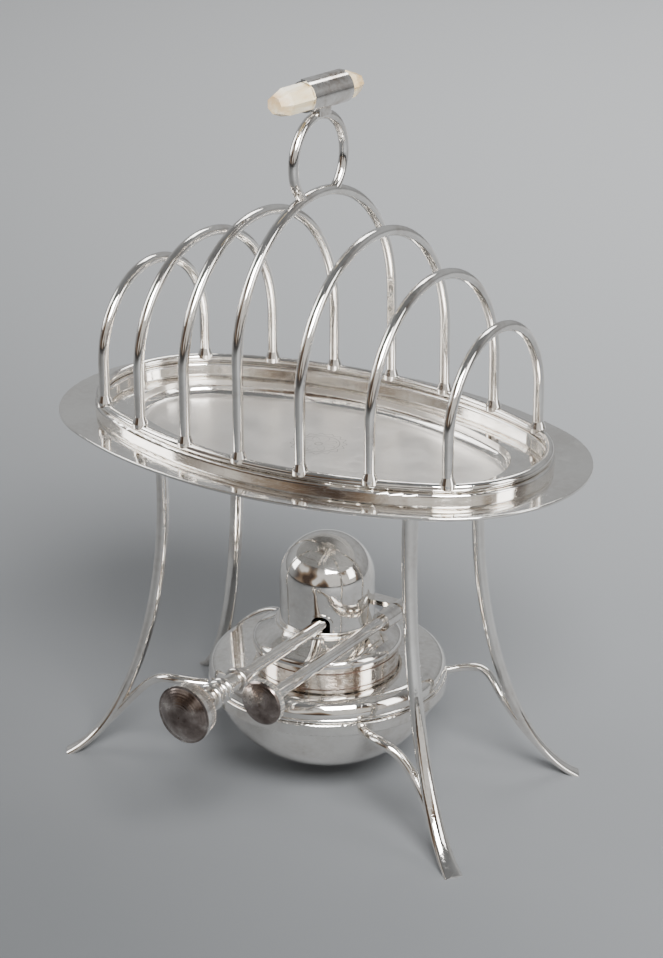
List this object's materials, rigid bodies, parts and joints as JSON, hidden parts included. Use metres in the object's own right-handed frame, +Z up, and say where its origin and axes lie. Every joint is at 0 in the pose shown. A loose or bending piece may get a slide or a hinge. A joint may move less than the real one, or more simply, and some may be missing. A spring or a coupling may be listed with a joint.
{
  "type": "toast rack",
  "caption": "Wire toast rack with a ring handle and bone grip, standing on an oval footed dish over a spirit burner with a hinged snuffer.",
  "frame": {"origin": "on the table, under the middle of the dish", "axes": "+Z up, +X along the dish, and the burner's two control knobs point towards -Y"},
  "size_m": [0.2074, 0.1646, 0.2619],
  "materials": {
    "silver_plate": "polished silver plate",
    "brass": "turned brass, dulled",
    "bone": "polished bone",
    "wick": "braided cotton",
    "washer": "oiled leather"
  },
  "bodies": {
    "stand": {"dish": "silver_plate", "rack_seat": "silver_plate", "burner_ring": "silver_plate", "leg_front_left": "silver_plate", "leg_front_right": "silver_plate", "leg_back_right": "silver_plate", "leg_back_left": "silver_plate", "strut_front_left": "silver_plate", "strut_front_right": "silver_plate", "strut_back_right": "silver_plate", "strut_back_left": "silver_plate"},
    "rack": {"rack_base": "silver_plate", "hoop_1": "silver_plate", "hoop_2": "silver_plate", "hoop_3": "silver_plate", "hoop_4": "silver_plate", "hoop_5": "silver_plate", "hoop_6": "silver_plate", "hoop_7": "silver_plate", "handle_loop": "silver_plate", "handle_pad": "silver_plate", "grip_sleeve": "silver_plate", "grip_rod": "bone"},
    "burner": {"reservoir_bowl": "silver_plate", "reservoir_shoulder": "silver_plate", "reservoir_neck": "silver_plate"},
    "head": {"head_washer": "washer", "head_plug": "brass", "head_saucer": "silver_plate", "head_collar": "silver_plate", "wick_tube": "brass", "winder_block": "brass", "snuffer_bearing": "silver_plate"},
    "winder": {"winder_rod": "silver_plate", "winder_wheel": "brass", "spindle_collar": "brass", "winder_ferrule": "silver_plate", "winder_knob": "silver_plate"},
    "wick": {"wick": "wick"},
    "snuffer": {"snuffer_dome": "silver_plate", "snuffer_rod": "silver_plate", "snuffer_arm": "silver_plate", "snuffer_knob": "silver_plate"}
  },
  "joints": [
    {"name": "rack_lift", "type": "slide", "parent": "stand", "child": "rack", "axis": [0, 0, 1], "range_m": [0, 0.06]},
    {"name": "burner_lift", "type": "slide", "parent": "stand", "child": "burner", "axis": [0, 0, 1], "range_m": [0, 0.028]},
    {"name": "head_lift", "type": "slide", "parent": "burner", "child": "head", "axis": [0, 0, 1], "range_m": [0, 0.008]},
    {"name": "winder_turn", "type": "hinge", "parent": "head", "child": "winder", "pos_m": [0.0099, 0.0016, 0.065], "axis": [0, 1, 0], "range_deg": [0, 125]},
    {"name": "wick_rise", "type": "slide", "parent": "head", "child": "wick", "axis": [0, 0, 1], "range_m": [0, 0.006]},
    {"name": "snuffer_swing", "type": "hinge", "parent": "head", "child": "snuffer", "pos_m": [0.0269, 0.0016, 0.065], "axis": [0, 1, 0], "range_deg": [0, 160]}
  ],
  "couplings": [
    {"joint": "wick_rise", "follows": "winder_turn", "m_per_rad": 0.0027}
  ]
}
